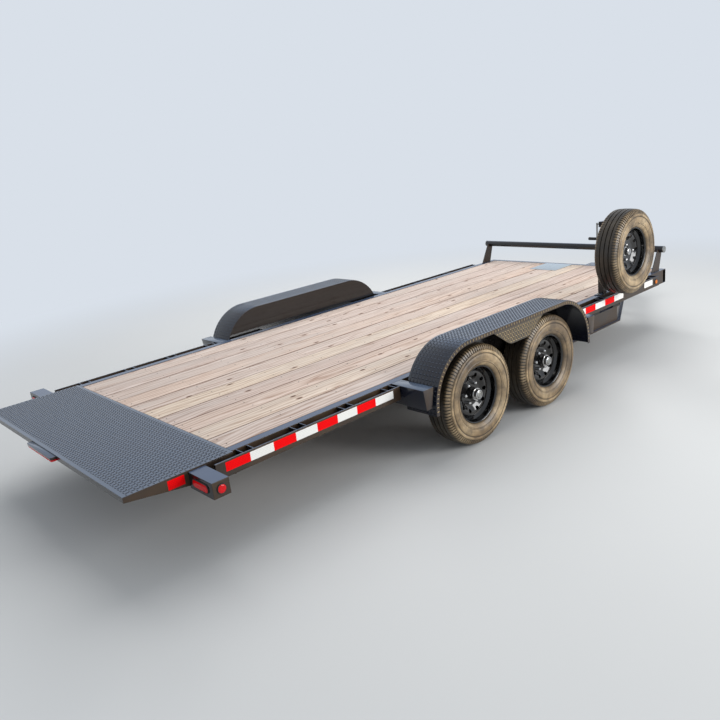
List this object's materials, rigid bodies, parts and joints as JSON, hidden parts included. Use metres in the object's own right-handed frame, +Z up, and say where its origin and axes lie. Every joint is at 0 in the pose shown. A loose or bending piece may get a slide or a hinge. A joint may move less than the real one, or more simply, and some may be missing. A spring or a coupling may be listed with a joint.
{
  "type": "tilt equipment trailer",
  "caption": "Tandem-axle tilt-bed equipment trailer with a plank deck, tread-plate tail and fenders, hinged tow frame with cushion cylinder, jack and upright spare wheel",
  "frame": {"origin": "centre of the bounding box on the ground", "axes": "+X forward to the coupler, +Y to the left side, +Z up"},
  "size_m": [6.877, 2.59, 1.274],
  "materials": {
    "frame_paint": "gloss black paint",
    "tread_plate": "black painted tread plate",
    "deck_wood": "weathered pine",
    "tyre_rubber": "dusty black rubber",
    "rim_paint": "gloss black wheel paint",
    "hub_iron": "dark iron with a bright cap",
    "red_lens": "moulded lens",
    "amber_lens": "moulded lens",
    "bare_steel": "zinc plated",
    "spring_steel": "painted spring steel",
    "pad_rubber": "moulded rubber",
    "rod_chrome": "hard chrome"
  },
  "bodies": {
    "tow_frame": {"tow_rails": "frame_paint", "tow_cross": "frame_paint", "rest_pads": "pad_rubber", "pivot_pins": "bare_steel", "coupler": "frame_paint", "jack_housing": "frame_paint", "jack_crank": "bare_steel", "barrel_lugs": "frame_paint"},
    "bed": {"side_rails": "frame_paint", "front_channel": "frame_paint", "cross_members": "frame_paint", "deck_planks": "deck_wood", "tail_plate": "tread_plate", "tail_frame": "frame_paint", "rub_rails": "frame_paint", "stake_pockets": "frame_paint", "light_boxes": "frame_paint", "tail_lamps": "red_lens", "id_light_bar": "red_lens", "marker_lamps": "amber_lens", "fender_left": "tread_plate", "fender_right": "tread_plate", "fender_panels": "frame_paint", "fender_valances": "tread_plate", "fender_steps": "tread_plate", "axles": "frame_paint", "leaf_springs": "spring_steel", "spring_hangers": "frame_paint", "equalizers": "spring_steel", "spare_tyre": "tyre_rubber", "spare_rim": "rim_paint", "spare_carrier": "frame_paint", "front_rail": "frame_paint", "front_uprights": "frame_paint", "cover_plate": "bare_steel", "pivot_brackets": "frame_paint", "rod_lugs": "frame_paint"},
    "wheel_front_left": {"tyre_front_left": "tyre_rubber", "rim_front_left": "rim_paint", "hub_front_left": "hub_iron"},
    "wheel_front_right": {"tyre_front_right": "tyre_rubber", "rim_front_right": "rim_paint", "hub_front_right": "hub_iron"},
    "wheel_rear_left": {"tyre_rear_left": "tyre_rubber", "rim_rear_left": "rim_paint", "hub_rear_left": "hub_iron"},
    "wheel_rear_right": {"tyre_rear_right": "tyre_rubber", "rim_rear_right": "rim_paint", "hub_rear_right": "hub_iron"},
    "jack_leg": {"jack_leg": "bare_steel"},
    "cushion_barrel": {"cushion_barrel": "frame_paint"},
    "cushion_rod": {"cushion_rod": "rod_chrome"}
  },
  "joints": [
    {"name": "bed_tilt", "type": "hinge", "parent": "tow_frame", "child": "bed", "pos_m": [0.3935, 0, 0.305], "axis": [0, -1, 0], "range_deg": [0, 14.5]},
    {"name": "wheel_front_left_spin", "type": "hinge", "parent": "bed", "child": "wheel_front_left", "pos_m": [-0.21, 1.157, 0.344], "axis": [0, 1, 0], "continuous": true},
    {"name": "wheel_front_right_spin", "type": "hinge", "parent": "bed", "child": "wheel_front_right", "pos_m": [-0.21, -1.157, 0.344], "axis": [0, 1, 0], "continuous": true},
    {"name": "wheel_rear_left_spin", "type": "hinge", "parent": "bed", "child": "wheel_rear_left", "pos_m": [-1.023, 1.157, 0.344], "axis": [0, 1, 0], "continuous": true},
    {"name": "wheel_rear_right_spin", "type": "hinge", "parent": "bed", "child": "wheel_rear_right", "pos_m": [-1.023, -1.157, 0.344], "axis": [0, 1, 0], "continuous": true},
    {"name": "jack_slide", "type": "slide", "parent": "tow_frame", "child": "jack_leg", "axis": [0, 0, 1], "range_m": [0, 0.3]},
    {"name": "cylinder_swing", "type": "hinge", "parent": "tow_frame", "child": "cushion_barrel", "pos_m": [1.21877, 0, 0.298], "axis": [0, 1, 0], "range_deg": [0, 7.48]},
    {"name": "rod_slide", "type": "slide", "parent": "cushion_barrel", "child": "cushion_rod", "axis": [-0.978, 0, 0.2084], "range_m": [0, 0.05594]}
  ],
  "couplings": [
    {"joint": "cylinder_swing", "follows": "bed_tilt", "ratio": 0.51609},
    {"joint": "rod_slide", "follows": "bed_tilt", "m_per_rad": 0.22106}
  ]
}
